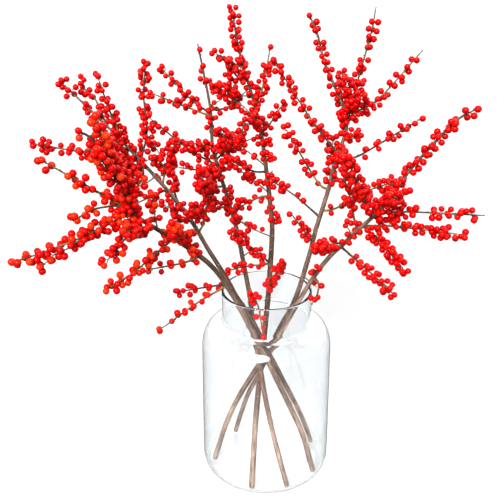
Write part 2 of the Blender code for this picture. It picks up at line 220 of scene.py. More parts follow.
# ---------------------------------------- left front branch
# A cut winterberry branch grows as one piece: a woody stem in thin grey-brown bark and side twigs, all
# swept along their routes, with buds where leaves have dropped. Its ripe fruit sits close to the twigs
# on short stalks, in rings at the leaf scars.
ROUTE_STEP = 0.004
WOOD_SIDES = 12
TWIG_FOOT_RADIUS = 0.0013
TWIG_TIP_RADIUS = 0.0007
SPUR_FOOT_RADIUS = 0.0008
SPUR_TIP_RADIUS = 0.0005
COLLAR_LENGTH = 0.0030
COLLAR_SHARE = 0.7
STEM_TAPER_POWER = 2.6
TWIG_TAPER_POWER = 1.0
TIP_POINT_SHARE = 0.5
TWIG_TONES = (0.62, 0.80, 0.95)
RIDGE_DEPTH = 0.22
RIDGE_SQUEEZE = (900.0, 900.0, 160.0)
LIMB_SHIFT = 0.731
FOOT_SLICE = 0.0005
FOOT_SETTLE = 0.6
BUD_SPACING = 0.013
BUD_STAND_OFF = 0.9
BUD_SHAPE = (0.62, 0.62, 1.0)
BUD_SIZES = (0.0009, 0.0016)
BERRY_DIAMETER = 0.0073
BERRY_SIZES = (0.90, 1.08)
BERRY_SEGMENTS = 10
BERRY_RINGS = 6
# The scar and the stalk of a berry, in berry diameters from its middle.
EYE_RADIUS, EYE_DEPTH, EYE_PLACE = 0.085, 0.07, 0.475
STALK_NEAR, STALK_FAR, STALK_LENGTH, STALK_PLACE = 0.07, 0.05, 0.36, -0.82
WHORL_SPACING = 0.0062
BERRY_REACH = 0.0056
BERRY_REACH_LOW = 0.84
BERRY_REACH_SPARE = 0.22
BERRY_ELBOW_ROOM = 0.0052
RING_GAP_SHARE = 0.14
RING_BERRIES = (2.8, 5.0)
FULL_RUN = 1.05
CROWDING_POWER = 1.3
TURN_JITTER = 0.45
ALONG_JITTER = 0.0022
LEAN = (-0.15, 0.55)
TIP_LEAN = (0.3, 2.6)
TIP_LEAN_POWER = 8.0
NOD = 0.35
RIPENESS_SPREAD = 0.25


def smooth_route(points, step=ROUTE_STEP):
    """Stations along a Catmull-Rom curve through the points, about one step apart."""
    pts = np.array(points, dtype=float)
    ext = np.vstack([2 * pts[0] - pts[1], pts, 2 * pts[-1] - pts[-2]])
    out = [pts[0]]
    for i in range(len(pts) - 1):
        a, b, c, d = ext[i:i + 4]
        count = max(1, math.ceil(np.linalg.norm(c - b) / step))
        for k in range(1, count + 1):
            t = k / count
            out.append(0.5 * (2 * b + (c - a) * t + (2 * a - 5 * b + 4 * c - d) * t ** 2
                              + (3 * b - a - 3 * c + d) * t ** 3))
    return np.array(out)


def distances(route):
    return np.concatenate([[0.0], np.cumsum(np.linalg.norm(np.diff(route, axis=0), axis=1))])


def at_share(route, share):
    """The point at a share of a route's length."""
    along = distances(route)
    return np.array([np.interp(share * along[-1], along, route[:, k]) for k in range(3)])


def stretch(route, start, end):
    """The part of a route between two shares of its length."""
    along = distances(route)
    kept = route[(along > start * along[-1] + 1e-4) & (along < end * along[-1] - 1e-4)]
    return np.vstack([at_share(route, start), kept, at_share(route, end)])


def guide_mesh(name, lines, values):
    """Bare polylines that carry named numbers at their points, for a node tree to grow on."""
    points = np.vstack(lines)
    edges, first = [], 0
    for line in lines:
        edges += [(first + k, first + k + 1) for k in range(len(line) - 1)]
        first += len(line)
    mesh = bpy.data.meshes.new(name)
    mesh.from_pydata(points.tolist(), edges, [])
    for key, numbers in values.items():
        mesh.attributes.new(key, "FLOAT", "POINT").data.foreach_set("value", np.concatenate(numbers))
    made = bpy.data.objects.new(name, mesh)
    bpy.context.scene.collection.objects.link(made)
    return made


def new_tree(name, inputs):
    """A geometry tree with named inputs after its geometry."""
    tree = bpy.data.node_groups.new(name, "GeometryNodeTree")
    tree.interface.new_socket("Geometry", in_out="INPUT", socket_type="NodeSocketGeometry")
    tree.interface.new_socket("Geometry", in_out="OUTPUT", socket_type="NodeSocketGeometry")
    for label, kind in inputs.items():
        tree.interface.new_socket(label, in_out="INPUT", socket_type="NodeSocket" + kind)
    return tree, tree.nodes.new("NodeGroupInput").outputs


def grown(guide, tree, values, name):
    """Runs a tree on a guide with its inputs set, and leaves the result as a plain mesh object."""
    runner = guide.modifiers.new("grow", "NODES")
    runner.node_group = tree
    for item in tree.interface.items_tree:
        if item.in_out == "INPUT" and item.name in values:
            runner[item.identifier] = values[item.name]
    graph = bpy.context.evaluated_depsgraph_get()
    mesh = bpy.data.meshes.new_from_object(guide.evaluated_get(graph))
    guide.modifiers.remove(runner)
    guide.data = mesh
    guide.name = name
    mesh.name = name
    mesh.polygons.foreach_set("use_smooth", [True] * len(mesh.polygons))
    return guide


def stored(tree, geometry, name, value, kind="FLOAT"):
    """The geometry with one more named number, or vector, at each of its points."""
    return add(tree, "GeometryNodeStoreNamedAttribute", {
        "Geometry": geometry, "Name": name, "Value": value}, data_type=kind).outputs[0]


def recalled(tree, name, kind="FLOAT"):
    return add(tree, "GeometryNodeInputNamedAttribute", {"Name": name}, data_type=kind).outputs[0]


def moved(tree, geometry, offset, **wires):
    return add(tree, "GeometryNodeSetPosition", {"Geometry": geometry, "Offset": offset, **wires}).outputs[0]


def joined(tree, *parts):
    node = add(tree, "GeometryNodeJoinGeometry")
    for part in parts:
        tree.links.new(part, node.inputs[0])
    return node.outputs[0]


def painted(tree, geometry, material, **wires):
    return add(tree, "GeometryNodeSetMaterial", {
        "Geometry": geometry, "Material": material, **wires}).outputs[0]


def shaped(tree, geometry, **wires):
    return add(tree, "GeometryNodeTransform", {"Geometry": geometry, **wires}).outputs[0]


def wood_tree():
    """Sweeps bark along each limb by its thickness, roughens it, and stores where each point is on it."""
    tree, given = new_tree("limbs_of_wood", {
        "Sides": "Int", "Ridge Depth": "Float", "Foot Height": "Float", "Bud Spacing": "Float",
        "Bark": "Material", "Cut Wood": "Material"})
    line = add(tree, "GeometryNodeMeshToCurve", {"Mesh": given["Geometry"]}).outputs[0]
    line = stored(tree, line, "along", add(tree, "GeometryNodeSplineParameter").outputs["Length"])
    ring = add(tree, "GeometryNodeCurvePrimitiveCircle", {
        "Resolution": given["Sides"], "Radius": 1.0}).outputs[0]
    ring = stored(tree, ring, "around", add(tree, "GeometryNodeInputPosition").outputs[0], "FLOAT_VECTOR")
    thickness = recalled(tree, "thickness")
    wood = add(tree, "GeometryNodeCurveToMesh", {
        "Curve": line, "Profile Curve": ring, "Scale": thickness, "Fill Caps": True}).outputs[0]

    # Where each point is on the bark, with its own stretch of the pattern for each limb.
    far = maths(tree, "MULTIPLY_ADD", recalled(tree, "limb"), LIMB_SHIFT, recalled(tree, "along"))
    across = scaled(tree, recalled(tree, "around", "FLOAT_VECTOR"), thickness)
    up = add(tree, "ShaderNodeCombineXYZ", {"Z": far}).outputs[0]
    bark_place = vectors(tree, "ADD", across, up)
    wood = stored(tree, wood, "bark_place", bark_place, "FLOAT_VECTOR")

    # Ridges that run along the limb.
    squeezed = vectors(tree, "MULTIPLY", bark_place, RIDGE_SQUEEZE)
    ridges = add(tree, "ShaderNodeTexNoise", {"Vector": squeezed, "Scale": 1.0, "Detail": 3.0}).outputs[0]
    depth = maths(tree, "MULTIPLY", given["Ridge Depth"], thickness)
    lift = maths(tree, "MULTIPLY", maths(tree, "SUBTRACT", ridges, 0.5), depth)
    wood = moved(tree, wood, scaled(tree, add(tree, "GeometryNodeInputNormal").outputs[0], lift))

    # The cut foot is brought nearer to level, close over the jar's base.
    at_foot = add(tree, "FunctionNodeCompare", {"A": far, "B": FOOT_SLICE}, operation="LESS_THAN").outputs[0]
    here = add(tree, "GeometryNodeInputPosition").outputs[0]
    height = add(tree, "ShaderNodeSeparateXYZ", {0: here}).outputs["Z"]
    above = maths(tree, "SUBTRACT", given["Foot Height"], height)
    settle = add(tree, "ShaderNodeCombineXYZ", {"Z": maths(tree, "MULTIPLY", above, FOOT_SETTLE)}).outputs[0]
    wood = moved(tree, wood, settle, Selection=at_foot)

    # Buds, each turned at random round the limb and leaning along it.
    buds_on = add(tree, "GeometryNodeResampleCurve", {
        "Curve": line, "Length": given["Bud Spacing"]}, mode="LENGTH").outputs[0]
    nodes_at = add(tree, "GeometryNodeCurveToPoints", {"Curve": buds_on}, mode="EVALUATED").outputs
    turned_by = add(tree, "FunctionNodeRandomValue", {"Min": 0.0, "Max": 2 * math.pi, "Seed": 5})
    out_from = add(tree, "ShaderNodeVectorRotate", {
        "Vector": nodes_at["Normal"], "Axis": nodes_at["Tangent"],
        "Angle": turned_by.outputs["Value"]}).outputs[0]
    leaning = vectors(tree, "ADD", out_from, nodes_at["Tangent"])
    stand_off = scaled(tree, out_from, maths(tree, "MULTIPLY", thickness, BUD_STAND_OFF))
    bud_points = moved(tree, nodes_at["Points"], stand_off)
    bud = add(tree, "GeometryNodeMeshUVSphere", {"Segments": 6, "Rings": 4, "Radius": 1.0}).outputs[0]
    bud_way = add(tree, "FunctionNodeAlignRotationToVector", {"Vector": leaning}, axis="Z").outputs[0]
    bud_size = add(tree, "FunctionNodeRandomValue", {"Min": BUD_SIZES[0], "Max": BUD_SIZES[1], "Seed": 6})
    buds = add(tree, "GeometryNodeInstanceOnPoints", {
        "Points": bud_points, "Instance": shaped(tree, bud, Scale=BUD_SHAPE), "Rotation": bud_way,
        "Scale": bud_size.outputs["Value"]}).outputs[0]
    buds = add(tree, "GeometryNodeRealizeInstances", {"Geometry": buds}).outputs[0]
    wood = add(tree, "GeometryNodeRealizeInstances", {"Geometry": wood}).outputs[0]
    wood = painted(tree, joined(tree, buds, wood), given["Bark"])

    # The cut ends are the only faces with more than four corners.
    corners = add(tree, "GeometryNodeInputMeshFaceNeighbors").outputs["Vertex Count"]
    capped = add(tree, "FunctionNodeCompare", {
        2: corners, 3: 4}, data_type="INT", operation="GREATER_THAN").outputs[0]
    wood = painted(tree, wood, given["Cut Wood"], Selection=capped)
    add(tree, "NodeGroupOutput", {0: wood})
    return tree


def berry_tree():
    """Rings of berries on short stalks round each line, with random gaps, turns, reach and size."""
    tree, given = new_tree("berries_on_twigs", {
        "Diameter": "Float", "Reach": "Float", "Ring Spacing": "Float", "Gap Share": "Float",
        "Elbow Room": "Float", "Ripeness And Painted Light": "Float", "Seed": "Int", "Skin": "Material", "Stalk": "Material"})

    def chance(low, high, salt, kind="FLOAT", item=None):
        """A random number for each ring or, with an item, for each berry."""
        seed = add(tree, "FunctionNodeIntegerMath", {0: given["Seed"], 1: salt}, operation="ADD").outputs[0]
        wires = {"Min": low, "Max": high, "Seed": seed}
        if item is not None:
            wires["ID"] = item
        node = add(tree, "FunctionNodeRandomValue", wires, data_type=kind)
        return next(s for s in node.outputs if s.enabled)

    line = add(tree, "GeometryNodeMeshToCurve", {"Mesh": given["Geometry"]}).outputs[0]
    line = add(tree, "GeometryNodeResampleCurve", {
        "Curve": line, "Length": given["Ring Spacing"]}, mode="LENGTH").outputs[0]
    line = stored(tree, line, "progress", add(tree, "GeometryNodeSplineParameter").outputs["Factor"])
    dots = add(tree, "GeometryNodeCurveToPoints", {"Curve": line}, mode="EVALUATED").outputs
    rings, along, side = dots["Points"], dots["Tangent"], dots["Normal"]

    # Rings: gaps only where the run isn't full, and more berries where it is.
    fullness = recalled(tree, "fullness")
    sparse = maths(tree, "LESS_THAN", fullness, FULL_RUN)
    gone = maths(tree, "MULTIPLY", maths(tree, "LESS_THAN", chance(0.0, 1.0, 1), given["Gap Share"]), sparse)
    rings = add(tree, "GeometryNodeDeleteGeometry", {"Geometry": rings, "Selection": gone}).outputs[0]
    crowding = maths(tree, "POWER", fullness, CROWDING_POWER)
    count = maths(tree, "MAXIMUM", maths(tree, "MULTIPLY", chance(*RING_BERRIES, 2), crowding), 1.0)
    rings = stored(tree, rings, "ring_count", count)
    rings = stored(tree, rings, "ring_phase", chance(0.0, 2 * math.pi, 3))
    many = add(tree, "GeometryNodeDuplicateElements", {
        "Geometry": rings, "Amount": count}, domain="POINT").outputs
    berries, number = many["Geometry"], many["Duplicate Index"]
    item = add(tree, "GeometryNodeInputIndex").outputs[0]

    # Berries: spaced round the ring, leaning along the twig, most of all at its tip.
    slice_angle = maths(tree, "DIVIDE", 2 * math.pi, maths(tree, "FLOOR", recalled(tree, "ring_count"), 0.0))
    turn = maths(tree, "ADD", number, chance(-TURN_JITTER, TURN_JITTER, 4, item=item))
    turn = maths(tree, "MULTIPLY_ADD", turn, slice_angle, recalled(tree, "ring_phase"))
    outward = add(tree, "ShaderNodeVectorRotate", {"Vector": side, "Axis": along, "Angle": turn}).outputs[0]
    near_tip = maths(tree, "POWER", recalled(tree, "progress"), TIP_LEAN_POWER)
    tip_lean = maths(tree, "MULTIPLY", near_tip, chance(*TIP_LEAN, 11, item=item))
    lean = scaled(tree, along, maths(tree, "ADD", chance(*LEAN, 5, item=item), tip_lean))
    outward = vectors(tree, "NORMALIZE", vectors(tree, "ADD", outward, lean), (0.0, 0.0, 0.0))
    far_reach = maths(tree, "ADD", fullness, BERRY_REACH_SPARE)
    reach = maths(tree, "MULTIPLY", given["Reach"], chance(BERRY_REACH_LOW, far_reach, 6, item=item))
    shift = scaled(tree, along, chance(-ALONG_JITTER, ALONG_JITTER, 7, item=item))
    offset = vectors(tree, "ADD", scaled(tree, outward, reach), shift)
    berries = stored(tree, berries, "outward", outward, "FLOAT_VECTOR")
    berries = moved(tree, berries, offset)

    # Berries of one branch whose middles fall closer than the elbow room become one.
    berries = add(tree, "GeometryNodeMergeByDistance", {
        "Geometry": berries, "Distance": given["Elbow Room"]}).outputs[0]
    # Each berry's orange share is its branch's value plus a random spread of ripeness; on the left front
    # branch that value is painted lamp light.
    tint_with_painted_light = maths(tree, "ADD", given["Ripeness And Painted Light"], chance(-RIPENESS_SPREAD, RIPENESS_SPREAD, 8, item=item))
    berries = stored(tree, berries, "ripeness_and_painted_light", tint_with_painted_light)
    nod = chance((-NOD,) * 3, (NOD,) * 3, 9, "FLOAT_VECTOR", item)
    facing = add(tree, "FunctionNodeAlignRotationToVector", {
        "Vector": vectors(tree, "ADD", recalled(tree, "outward", "FLOAT_VECTOR"), nod)}, axis="Z").outputs[0]

    # One berry, of diameter 1: the fruit, the dried flower scar at its end and its stalk.
    fruit = add(tree, "GeometryNodeMeshUVSphere", {
        "Segments": BERRY_SEGMENTS, "Rings": BERRY_RINGS, "Radius": 0.5}).outputs[0]
    eye = add(tree, "GeometryNodeMeshCone", {
        "Vertices": 5, "Radius Top": 0.0, "Radius Bottom": EYE_RADIUS, "Depth": EYE_DEPTH}).outputs[0]
    stalk = add(tree, "GeometryNodeMeshCone", {
        "Vertices": 4, "Radius Top": STALK_NEAR, "Radius Bottom": STALK_FAR, "Depth": STALK_LENGTH},
        fill_type="NONE").outputs[0]
    trim = joined(tree, shaped(tree, eye, Translation=(0.0, 0.0, EYE_PLACE)),
                  shaped(tree, stalk, Translation=(0.0, 0.0, STALK_PLACE)))
    berry = joined(tree, stored(tree, trim, "is_trim", True, "BOOLEAN"), fruit)
    size = maths(tree, "MULTIPLY", given["Diameter"], chance(*BERRY_SIZES, 10, item=item))
    placed = add(tree, "GeometryNodeInstanceOnPoints", {
        "Points": berries, "Instance": berry, "Rotation": facing, "Scale": size}).outputs[0]
    placed = add(tree, "GeometryNodeRealizeInstances", {"Geometry": placed}).outputs[0]
    placed = painted(tree, placed, given["Skin"])
    placed = painted(tree, placed, given["Stalk"], Selection=recalled(tree, "is_trim", "BOOLEAN"))
    add(tree, "NodeGroupOutput", {0: placed})
    return tree


# Thin winterberry bark: smooth, weathered grey-brown skin over tan underbark. The eye gets long faint
# ridges, pale corky pores and a paler foot; young twigs are olive.
STREAK_SQUEEZE = (330.0, 330.0, 45.0)
STREAK_RANGE, STREAK_SHADES = (0.34, 0.66), (0.25, 1.80)
PATCH_SCALE = 55.0
PATCH_RANGE, PATCH_SHADES = (0.35, 0.65), (0.80, 1.18)
PORE_SQUEEZE = (520.0, 520.0, 300.0)
PORE_EDGE, PORE_STRENGTH = (0.16, 0.30), 0.45
BARK_RELIEF = 0.0004

bark, tree, shader = new_material("weathered_winterberry_bark")
place = add(tree, "ShaderNodeAttribute", attribute_name="bark_place").outputs["Vector"]
tone = add(tree, "ShaderNodeAttribute", attribute_name="tone").outputs["Fac"]
streaks = add(tree, "ShaderNodeTexNoise", {
    "Vector": vectors(tree, "MULTIPLY", place, STREAK_SQUEEZE), "Scale": 1.0, "Detail": 5.0,
    "Roughness": 0.65}).outputs[0]
patches = add(tree, "ShaderNodeTexNoise", {"Vector": place, "Scale": PATCH_SCALE, "Detail": 3.0}).outputs[0]
pores = add(tree, "ShaderNodeTexVoronoi", {
    "Vector": vectors(tree, "MULTIPLY", place, PORE_SQUEEZE), "Scale": 1.0}).outputs["Distance"]
speck = maths(tree, "MULTIPLY", spread(tree, pores, PORE_EDGE, (1.0, 0.0)), PORE_STRENGTH)
age = ramp(tree, tone, {0.0: "#7E6A5D", 0.35: "#6C584B", 0.62: "#493127", 1.0: "#786032"})
tinted = scaled(tree, age, spread(tree, streaks, STREAK_RANGE, STREAK_SHADES))
tinted = scaled(tree, tinted, spread(tree, patches, PATCH_RANGE, PATCH_SHADES))
coloured = add(tree, "ShaderNodeMix", {0: speck, 6: tinted, 7: linear("#CDBBA6")}, data_type="RGBA")
tree.links.new(coloured.outputs[2], shader.inputs["Base Color"])
relief = maths(tree, "ADD", streaks, speck)
bump = add(tree, "ShaderNodeBump", {"Height": relief, "Strength": 0.5, "Distance": BARK_RELIEF}).outputs[0]
tree.links.new(bump, shader.inputs["Normal"])
shader.inputs["Roughness"].default_value = 0.7

# Fresh-cut wood: pale cream sapwood, cut by secateurs, a little torn. The eye gets a light disc with
# fine darker grain.
GRAIN_SCALE = 900.0
cut_wood, tree, shader = new_material("cut_sapwood")
place = add(tree, "ShaderNodeAttribute", attribute_name="bark_place").outputs["Vector"]
grain = add(tree, "ShaderNodeTexNoise", {"Vector": place, "Scale": GRAIN_SCALE, "Detail": 3.0}).outputs[0]
tree.links.new(ramp(tree, grain, {0.0: "#A98562", 1.0: "#E3CDAE"}), shader.inputs["Base Color"])
shader.inputs["Roughness"].default_value = 0.8

# Ripe winterberry skin: a thin waxy skin over soft flesh. The eye gets a deep glossy scarlet with a faint
# uneven bloom and small highlights. Less ripe berries are nearer orange. The left front branch's fruit also
# gets orange as painted light, standing in for strong lamp light on it.
BLOOM_SCALE, BLOOM_WARMTH, BLOOM_RANGE = 260.0, 0.3, (0.3, 0.7)
SKIN_ROUGHNESS = (0.16, 0.26)
berry_skin, tree, shader = new_material("waxy_winterberry_skin")
# This stored value carries painted light: it turns the left front branch's fruit orange as if brightly lit.
ripeness_and_painted_light = add(tree, "ShaderNodeAttribute", attribute_name="ripeness_and_painted_light").outputs["Fac"]
here = add(tree, "ShaderNodeTexCoord").outputs["Object"]
bloom = add(tree, "ShaderNodeTexNoise", {"Vector": here, "Scale": BLOOM_SCALE, "Detail": 2.0}).outputs[0]
warmth = maths(tree, "MULTIPLY_ADD", bloom, BLOOM_WARMTH, ripeness_and_painted_light)
reds = ramp(tree, warmth, {0.2: "#C80000", 0.5: "#DC0200", 1.0: "#FF5A14"})
tree.links.new(reds, shader.inputs["Base Color"])
tree.links.new(spread(tree, bloom, BLOOM_RANGE, SKIN_ROUGHNESS), shader.inputs["Roughness"])
shader.inputs["IOR"].default_value = 1.42
shader.inputs["Specular IOR Level"].default_value = 0.32

# Fruit stalks and the dried flower scar at each berry's end: thin, brown and woody. The eye gets a dark
# dot on many berries and short dark links to the twig.
FLECK_SCALE = 800.0
stalk_skin, tree, shader = new_material("dry_brown_stalk")
here = add(tree, "ShaderNodeTexCoord").outputs["Object"]
fleck = add(tree, "ShaderNodeTexNoise", {"Vector": here, "Scale": FLECK_SCALE, "Detail": 2.0}).outputs[0]
tree.links.new(ramp(tree, fleck, {0.0: "#2A130C", 1.0: "#5A4A24"}), shader.inputs["Base Color"])
shader.inputs["Roughness"].default_value = 0.75

WOOD_TREE = wood_tree()
BERRY_TREE = berry_tree()


def side_route(points, parents):
    """A smooth route through points in millimetres, the first of them moved onto the nearest parent limb."""
    points = np.array(points) / 1000
    stations = np.vstack([route for route, _, _ in parents])
    points[0] = stations[np.argmin(np.linalg.norm(stations - points[0], axis=1))]
    return smooth_route(points)


def fruit_nodes(key):
    """The frame's nodes that hold this branch's fruit: its numbered side twigs' and its leader's."""
    start = f"berries_{key}_"
    ends = {node: node[len(start):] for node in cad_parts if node.startswith(start)}
    return [node for node, end in ends.items() if end.isdigit() or end == "leader"]


def grow_branch(key, radii, ripeness_and_painted_light, seed, tones, stem, stem_berries, twigs, spurs):
    """The wood of one branch and its berries. Its points and the stem's radii come in millimetres.

    A twig starts on the stem and a spur, thinner, on the nearest limb. Each is its points and its
    berried stretches; a stretch is the two shares of the limb's length that it lies between, and how
    full it is. The tones are the stem's bark colour by share of its length."""
    radii = tuple(radius / 1000 for radius in radii)
    stem = np.array(stem) / 1000
    limbs = [(smooth_route(stem), radii, stem_berries)]
    for points, stretches in twigs:
        limbs.append((side_route(points, limbs[:1]), (TWIG_FOOT_RADIUS, TWIG_TIP_RADIUS), stretches))
    for points, stretches in spurs:
        limbs.append((side_route(points, limbs), (SPUR_FOOT_RADIUS, SPUR_TIP_RADIUS), stretches))
    lines, thickness, tone, number, fruit_lines, fullness = [], [], [], [], [], []
    for i, (route, (foot, tip), stretches) in enumerate(limbs):
        along = distances(route)
        share = along / along[-1]
        size = foot + (tip - foot) * share ** (TWIG_TAPER_POWER if i else STEM_TAPER_POWER)
        if i:
            size = size * (1 + COLLAR_SHARE * np.exp(-along / COLLAR_LENGTH))
        size[-1] = size[-1] * TIP_POINT_SHARE
        lines.append(route)
        thickness.append(size)
        if i:
            tone.append(np.full(len(route), TWIG_TONES[i % len(TWIG_TONES)]))
        else:
            tone.append(np.interp(share, *zip(*tones)))
        number.append(np.full(len(route), float(i)))
        for start, end, full in stretches:
            part = stretch(route, start, end)
            fruit_lines.append(part)
            fullness.append(np.full(len(part), full))
    guide = guide_mesh(f"limbs_{key}", lines, {"thickness": thickness, "tone": tone, "limb": number})
    wood = grown(guide, WOOD_TREE, {
        "Sides": WOOD_SIDES, "Ridge Depth": RIDGE_DEPTH, "Foot Height": stem[0][2] - radii[0] / 2,
        "Bud Spacing": BUD_SPACING, "Bark": bark, "Cut Wood": cut_wood}, f"wood_{key}")
    guide = guide_mesh(f"fruit_lines_{key}", fruit_lines, {"fullness": fullness})
    fruit = grown(guide, BERRY_TREE, {
        "Diameter": BERRY_DIAMETER, "Reach": BERRY_REACH, "Ring Spacing": WHORL_SPACING,
        "Gap Share": RING_GAP_SHARE, "Elbow Room": BERRY_ELBOW_ROOM, "Ripeness And Painted Light": ripeness_and_painted_light, "Seed": seed,
        "Skin": berry_skin, "Stalk": stalk_skin}, f"fruit_{key}")
    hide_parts(f"branch_{key}")
    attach(wood, "root")
    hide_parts(*fruit_nodes(key))
    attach(fruit, "root")


# The left front branch's higher orange value is painted light: a lit, warmer copy of the berry colour for the
# fruit nearest the lamp.
grow_branch(
    "left_front", radii=(3.4, 1.0), ripeness_and_painted_light=0.34, seed=1,
    tones=[(0.0, 0.02), (0.12, 0.08), (0.17, 0.4), (0.24, 0.56), (0.34, 0.34), (0.5, 0.44), (0.6, 0.55),
           (1.0, 0.5)],
    stem=[(60, -36, 8), (46, -35, 62), (25, -31, 113), (-24, -24, 220), (-44, -20, 257), (-63, -28, 291),
          (-90, -50, 326), (-117, -80, 358), (-135, -110, 386), (-138, -122, 409), (-141, -132, 431),
          (-147, -140, 450), (-163, -152, 474), (-173, -158, 480)],
    stem_berries=[(0.79, 0.93, 1.2), (0.93, 0.95, 1.1), (0.97, 0.99, 0.8)],
    twigs=[
        ([(-138, -112, 388), (-154, -128, 384), (-184, -146, 374), (-218, -158, 364), (-239, -162, 358)],
         [(0.1, 0.42, 1.4), (0.42, 0.68, 1.1), (0.74, 1.0, 1.0)]),
        ([(-136, -112, 389), (-161, -134, 415), (-204, -154, 451)],
         [(0.05, 0.3, 1.3), (0.33, 0.46, 1.0), (0.56, 0.72, 1.1), (0.84, 1.0, 1.0)]),
        ([(-133, -106, 381), (-140, -112, 368), (-162, -128, 343)], [(0.12, 0.5, 1.55), (0.56, 1.0, 1.2)]),
        ([(-104, -64, 341), (-138, -104, 322), (-163, -130, 313)],
         [(0.14, 0.3, 0.8), (0.32, 0.6, 1.1), (0.66, 0.97, 1.0)]),
        ([(-79, -38, 308), (-95, -44, 304), (-137, -60, 302)],
         [(0.1, 0.24, 1.1), (0.3, 0.48, 0.7), (0.54, 0.9, 0.8)]),
        ([(-101, -60, 338), (-95, -118, 374)], [(0.25, 0.62, 1.1), (0.7, 1.0, 1.05)]),
        ([(-123, -90, 367), (-128, -122, 375), (-137, -152, 384)], [(0.2, 0.6, 1.2), (0.68, 1.0, 1.1)]),
        ([(-49, -21, 264), (-82, -40, 251), (-118, -70, 236)],
         [(0.28, 0.36, 0.6), (0.44, 0.6, 0.8), (0.66, 0.8, 0.8), (0.88, 1.0, 0.9)]),
        ([(-140, -128, 421), (-143, -145, 432), (-151, -168, 458)], [(0.2, 1.0, 1.35)]),
        ([(-137, -120, 405), (-129, -122, 417), (-121, -126, 432), (-122, -130, 444)], [(0.05, 0.5, 1.2)]),
        ([(-136, -112, 388), (-150, -120, 398), (-171, -134, 399), (-182, -140, 394)],
         [(0.4, 0.5, 0.7), (0.58, 1.0, 1.0)]),
    ],
    spurs=[
        ([(-116, -78, 358), (-124, -62, 384)], [(0.35, 1.0, 0.9)]),
        ([(-146, -139, 448), (-150, -148, 459), (-165, -162, 464)], [(0.1, 1.0, 1.25)]),
        ([(-152, -145, 460), (-151, -150, 471), (-154, -152, 479), (-156, -150, 487)], [(0.15, 1.0, 1.1)]),
        ([(-178, -144, 376), (-191, -150, 367), (-205, -156, 362), (-215, -158, 353)],
         [(0.15, 0.5, 1.0), (0.62, 1.0, 1.0)]),
        ([(-83, -42, 315), (-83, -52, 327), (-79, -58, 334)], [(0.1, 0.95, 0.9)]),
        ([(-102, -62, 340), (-112, -86, 359)], [(0.35, 1.0, 1.0)]),
        ([(-96, -54, 332), (-92, -66, 343), (-87, -78, 350)], [(0.35, 1.0, 1.0)]),
        ([(-91, -50, 328), (-83, -60, 347)], [(0.75, 1.0, 0.5)]),
    ])

# ---------------------------------------- left back branch
# The branch at the back left, which reaches furthest to the left: one woody stem in grey-brown bark with
# long side twigs and its own fruit. It is cut at the foot and stands loose in the jar.
grow_branch(
    "left_back", radii=(3.2, 1.0), ripeness_and_painted_light=0.05, seed=2,
    tones=[(0.0, 0.05), (0.12, 0.12), (0.2, 0.5), (0.3, 0.56), (0.5, 0.46), (0.62, 0.34), (1.0, 0.45)],
    stem=[(64, 26, 6), (52, 19, 44), (37, 11, 83), (21, 3, 121), (2, -8, 168), (-18, -9, 213),
          (-37, -5, 243), (-49, 4, 263), (-70, 14, 295), (-101, 24, 345), (-163, 39, 415), (-236, 64, 482)],
    stem_berries=[(0.67, 0.7, 0.8), (0.8, 0.86, 1.2), (0.91, 0.93, 1.6), (0.98, 1.0, 1.4)],
    twigs=[
        ([(-187, 46, 438), (-203, 66, 467), (-215, 76, 474), (-221, 84, 486)],
         [(0.4, 0.52, 0.7), (0.66, 1.0, 1.1)]),
        ([(-168, 40, 421), (-180, 34, 458), (-188, 24, 496)],
         [(0.02, 0.3, 1.35), (0.34, 0.62, 1.15), (0.66, 0.78, 0.9), (0.86, 1.0, 1.2)]),
        ([(-150, 36, 397), (-143, 58, 429), (-147, 76, 468), (-145, 88, 500)],
         [(0.14, 0.46, 1.2), (0.5, 0.64, 1.15), (0.7, 0.82, 1.0), (0.88, 1.0, 1.1)]),
        ([(-140, 33, 390), (-188, 28, 407), (-263, 15, 425)],
         [(0.04, 0.4, 1.4), (0.44, 0.66, 1.1), (0.7, 0.84, 0.8), (0.9, 1.0, 1.1)]),
        ([(-126, 30, 370), (-119, 58, 397), (-113, 70, 408)], [(0.3, 1.0, 1.5)]),
        ([(-106, 26, 350), (-111, 40, 361), (-114, 58, 382)], [(0.28, 1.0, 0.95)]),
        ([(-124, 28, 362), (-149, -10, 363)], [(0.3, 0.75, 0.9)]),
        ([(-84, 18, 317), (-74, 8, 335), (-67, -4, 372)], [(0.55, 1.0, 0.9)]),
        ([(-49, 4, 252), (-102, -10, 252)], [(0.2, 0.34, 0.7), (0.44, 0.66, 1.0), (0.78, 1.0, 1.1)]),
    ],
    spurs=[
        ([(-136, 30, 377), (-143, 22, 377), (-154, 14, 386), (-174, 0, 422), (-187, -6, 450)],
         [(0.3, 0.98, 1.3)]),
        ([(-88, 14, 324), (-82, -8, 357), (-87, -14, 354)], [(0.45, 1.0, 1.2)]),
        ([(-99, 22, 341), (-118, 4, 355)], [(0.25, 1.0, 1.05)]),
        ([(-143, 57, 427), (-128, 62, 399)], [(0.3, 0.9, 0.8)]),
        ([(-122, 48, 390), (-131, 40, 400), (-142, 34, 401)], [(0.2, 1.0, 1.0)]),
        ([(-125, 50, 390), (-124, 44, 381), (-128, 40, 380)], [(0.3, 1.0, 0.8)]),
        ([(-113, 28, 357), (-116, 24, 359)], [(0.9, 1.0, 0.6)]),
        ([(-175, 42, 427), (-173, 20, 417)], [(0.1, 1.0, 1.3)]),
        ([(-93, 20, 330), (-102, 10, 333), (-107, 4, 340)], [(0.4, 1.0, 0.9)]),
    ])

